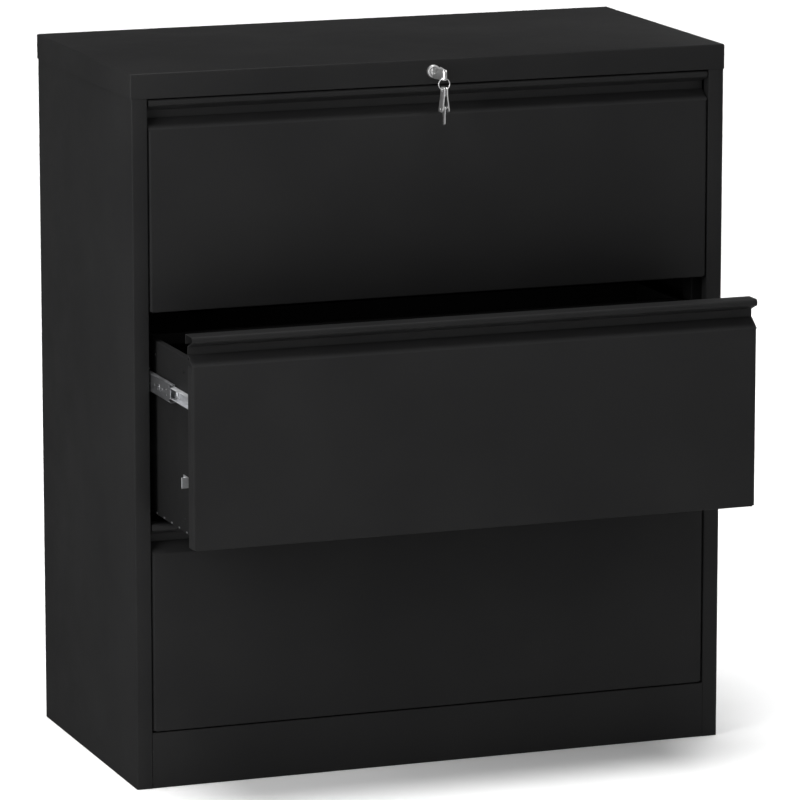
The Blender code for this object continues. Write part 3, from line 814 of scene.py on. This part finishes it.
def pin_across(radius, half):
    """Round pin along the X axis, its ends chamfered."""
    edge = radius * 0.2
    profile = [
        (0, -half),
        (radius - edge, -half),
        (radius, -half + edge),
        (radius, half - edge),
        (radius - edge, half),
        (0, half),
    ]
    return moved(lathe(profile, 28), Matrix.Rotation(math.pi / 2, 4, "Y"))


def key_blade_shape(length, thickness, width):
    """Flat key blade with its bitting along one edge and a milled groove on its +X side."""
    half = width / 2
    outline = [(0.0, -HEAD_HALF), (HEAD_END, -HEAD_HALF), (HEAD_END, -half)]
    outline += [(length - 0.0022, -half), (length, 0.0006), (length - 0.0012, half)]
    for share, depth in reversed(BITTING):
        y = share * length
        outline += [(y + CUT_MOUTH, half), (y + CUT_FLOOR, half - depth)]
        outline += [(y - CUT_FLOOR, half - depth), (y - CUT_MOUTH, half)]
    outline += [(HEAD_END, half), (HEAD_END, HEAD_HALF), (0.0, HEAD_HALF)]
    outline += [(-HEAD_CORNER, HEAD_CORNER), (-HEAD_HALF, 0.0), (-HEAD_CORNER, -HEAD_CORNER)]
    shape = prism(outline, along_x, -thickness / 2, thickness / 2)
    groove = rectangle(GROOVE_START, GROOVE_Z[0], length + 0.002, GROOVE_Z[1])
    face = thickness / 2
    shape = carved(shape, prism(groove, along_x, face - GROOVE_DEPTH, face + CLEAR))
    rivet = joined([pin_across(0.0028, 0.0030), pin_across(0.0015, 0.0049)])
    return joined([shape, rivet])


def build_bows(looks):
    """Key grips: two cheeks joined only by a spine along one edge."""
    for node, body in (("key_bow", "key_grip"), ("spare_key_bow", "spare_grip")):
        shape = bmesh.new()
        shape.from_mesh(frame["nodes"][node].data)
        bmesh.ops.remove_doubles(shape, verts=shape.verts, dist=1e-5)
        bmesh.ops.dissolve_limit(shape, angle_limit=0.01, verts=shape.verts, edges=shape.edges)
        low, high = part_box(node)
        if node == "spare_key_bow":
            slit = (low[1] - CLEAR, high[2] - BOW_SLIT, high[1] - BOW_SPINE, high[2] + CLEAR)
        else:
            slit = (low[1] - CLEAR, low[2] + BOW_SPINE, low[1] + BOW_SLIT, high[2] + CLEAR)
        shape = carved(shape, prism(rectangle(*slit), along_x, -BOW_GAP, BOW_GAP))
        piece(f"{node}_cheeks", shape, looks["chrome"], body, (node,), FINE_EDGE, 40)


def build_spare_blade(looks):
    """Blade of the hanging key, thinner and with its bitting cut."""
    low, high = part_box("spare_key_blade")
    centre = [(a + b) / 2 for a, b in zip(low, high)]
    hanging = Matrix.Rotation(-math.pi / 2, 4, "X")
    place = Matrix.Translation((centre[0], centre[1], high[2] - HEAD_HALF)) @ hanging
    shape = moved(key_blade_shape(SPARE_LENGTH, SPARE_THICKNESS, SPARE_WIDTH), place)
    node = "spare_key_blade"
    piece("spare_key_blade_cut", shape, looks["chrome"], "spare_blade", (node,))


# ---------------------------------------------------------------- CAD nodes


def refine(obj, look):
    """Gives a CAD node its finish and small rounded edges, without touching its vertices."""
    mesh = obj.data
    mesh.materials.clear()
    mesh.materials.append(look)
    for extra in ("custom_normal", "sharp_edge", "sharp_face"):
        if extra in mesh.attributes:
            mesh.attributes.remove(mesh.attributes[extra])
    mesh.shade_smooth()
    weld = obj.modifiers.new("weld", "WELD")
    weld.merge_threshold = 0.00001
    flat = obj.modifiers.new("flat", "DECIMATE")
    flat.decimate_type = "DISSOLVE"
    flat.angle_limit = math.radians(0.5)
    small_edges(obj, CAD_EDGE, 40)


def finish_cad(looks):
    """Finishes every CAD node that no other piece stands for."""
    slots = {row["node"]: row["material_slot"] for row in frame["record"]["subparts"]}
    look_of = {
        "black_powder_coat": looks["coat"],
        "black_drawer_paint": looks["inside"],
        "zinc_plate": looks["zinc"],
        "chrome_plate": looks["chrome"],
    }
    for name, obj in frame["nodes"].items():
        if not obj.hide_render:
            refine(obj, look_of[slots[name]])


bpy.context.scene.view_settings.view_transform = "Standard"
looks = make_materials()
make_camera()
make_floor()
make_backdrop()
make_world()
make_sun()
for name, setting in SOFTBOXES.items():
    make_softbox(name, *setting)
build_slides(looks)
build_side_details(looks)
build_back(looks)
build_lock(looks)
build_bows(looks)
build_spare_blade(looks)
finish_cad(looks)
